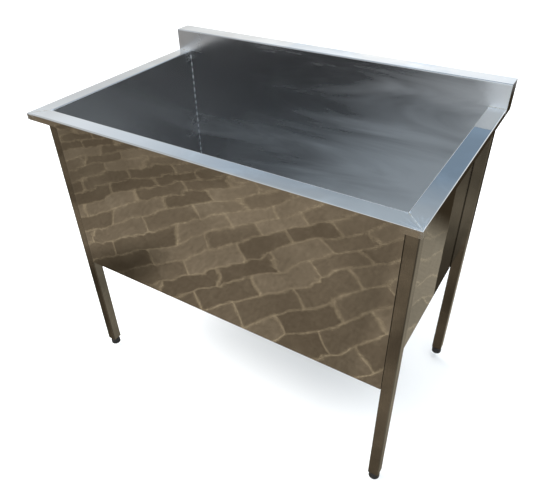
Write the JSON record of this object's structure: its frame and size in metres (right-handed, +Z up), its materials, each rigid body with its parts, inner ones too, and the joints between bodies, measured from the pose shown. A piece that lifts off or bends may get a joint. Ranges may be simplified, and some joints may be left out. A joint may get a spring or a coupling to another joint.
{
  "type": "pet bathtub",
  "caption": "Free-standing raised pet bath: a deep rectangular stainless basin with a rolled rim and rear splashback on square legs with levelling feet and a basket waste.",
  "frame": {"origin": "on the floor, below the middle of the bath's outline", "axes": "+X to the bath's right when facing it, +Y towards the splashback and the wall, +Z up"},
  "size_m": [1.05, 0.667, 0.938],
  "materials": {
    "mirror_steel": "mirror-polished stainless sheet and tube with fine polishing haze",
    "weld_steel": "dressed stainless weld, brushed, slightly heat tinted",
    "strainer_steel": "satin pressed stainless steel",
    "zinc_steel": "bright zinc-plated screw",
    "black_rubber": "matt black rubber",
    "black_plastic": "matt black moulded plastic",
    "waste_plastic": "white moulded waste fitting"
  },
  "bodies": {
    "bath": {"front_panel": "mirror_steel", "back_panel": "mirror_steel", "left_panel": "mirror_steel", "right_panel": "mirror_steel", "floor_pan": "mirror_steel", "splash_end_left": "mirror_steel", "splash_end_right": "mirror_steel", "corner_welds": "weld_steel", "floor_weld": "weld_steel", "rim_welds": "weld_steel", "leg_welds": "weld_steel", "drain_seal": "black_rubber", "drain_body": "strainer_steel", "drain_washer": "black_rubber", "drain_locknut": "waste_plastic", "tail_washer": "black_rubber", "tailpiece": "waste_plastic", "coupling_nut": "waste_plastic", "leg_front_left": "mirror_steel", "leg_front_right": "mirror_steel", "leg_rear_left": "mirror_steel", "leg_rear_right": "mirror_steel", "leg_insert_front_left": "black_plastic", "leg_insert_front_right": "black_plastic", "leg_insert_rear_left": "black_plastic", "leg_insert_rear_right": "black_plastic"},
    "foot_front_left": {"foot_pad_front_left": "black_rubber"},
    "stem_front_left": {"foot_stem_front_left": "zinc_steel"},
    "foot_front_right": {"foot_pad_front_right": "black_rubber"},
    "stem_front_right": {"foot_stem_front_right": "zinc_steel"},
    "foot_rear_left": {"foot_pad_rear_left": "black_rubber"},
    "stem_rear_left": {"foot_stem_rear_left": "zinc_steel"},
    "foot_rear_right": {"foot_pad_rear_right": "black_rubber"},
    "stem_rear_right": {"foot_stem_rear_right": "zinc_steel"},
    "basket": {"strainer_basket": "strainer_steel", "basket_knob": "strainer_steel", "basket_stopper": "black_rubber"}
  },
  "joints": [
    {"name": "foot_front_left_travel", "type": "slide", "parent": "bath", "child": "foot_front_left", "axis": [0, 0, -1], "range_m": [0, 0.025]},
    {"name": "foot_front_left_screw", "type": "hinge", "parent": "foot_front_left", "child": "stem_front_left", "pos_m": [-0.4962, -0.2747, 0.03], "axis": [0, 0, -1], "range_deg": [0, 6000]},
    {"name": "foot_front_right_travel", "type": "slide", "parent": "bath", "child": "foot_front_right", "axis": [0, 0, -1], "range_m": [0, 0.025]},
    {"name": "foot_front_right_screw", "type": "hinge", "parent": "foot_front_right", "child": "stem_front_right", "pos_m": [0.4962, -0.2747, 0.03], "axis": [0, 0, -1], "range_deg": [0, 6000]},
    {"name": "foot_rear_left_travel", "type": "slide", "parent": "bath", "child": "foot_rear_left", "axis": [0, 0, -1], "range_m": [0, 0.025]},
    {"name": "foot_rear_left_screw", "type": "hinge", "parent": "foot_rear_left", "child": "stem_rear_left", "pos_m": [-0.4962, 0.2647, 0.03], "axis": [0, 0, -1], "range_deg": [0, 6000]},
    {"name": "foot_rear_right_travel", "type": "slide", "parent": "bath", "child": "foot_rear_right", "axis": [0, 0, -1], "range_m": [0, 0.025]},
    {"name": "foot_rear_right_screw", "type": "hinge", "parent": "foot_rear_right", "child": "stem_rear_right", "pos_m": [0.4962, 0.2647, 0.03], "axis": [0, 0, -1], "range_deg": [0, 6000]},
    {"name": "basket_lift", "type": "slide", "parent": "bath", "child": "basket", "axis": [0, 0, 1], "range_m": [0, 0.06]}
  ],
  "couplings": [
    {"joint": "foot_front_left_screw", "follows": "foot_front_left_travel", "rad_per_m": 4188.8},
    {"joint": "foot_front_right_screw", "follows": "foot_front_right_travel", "rad_per_m": 4188.8},
    {"joint": "foot_rear_left_screw", "follows": "foot_rear_left_travel", "rad_per_m": 4188.8},
    {"joint": "foot_rear_right_screw", "follows": "foot_rear_right_travel", "rad_per_m": 4188.8}
  ]
}
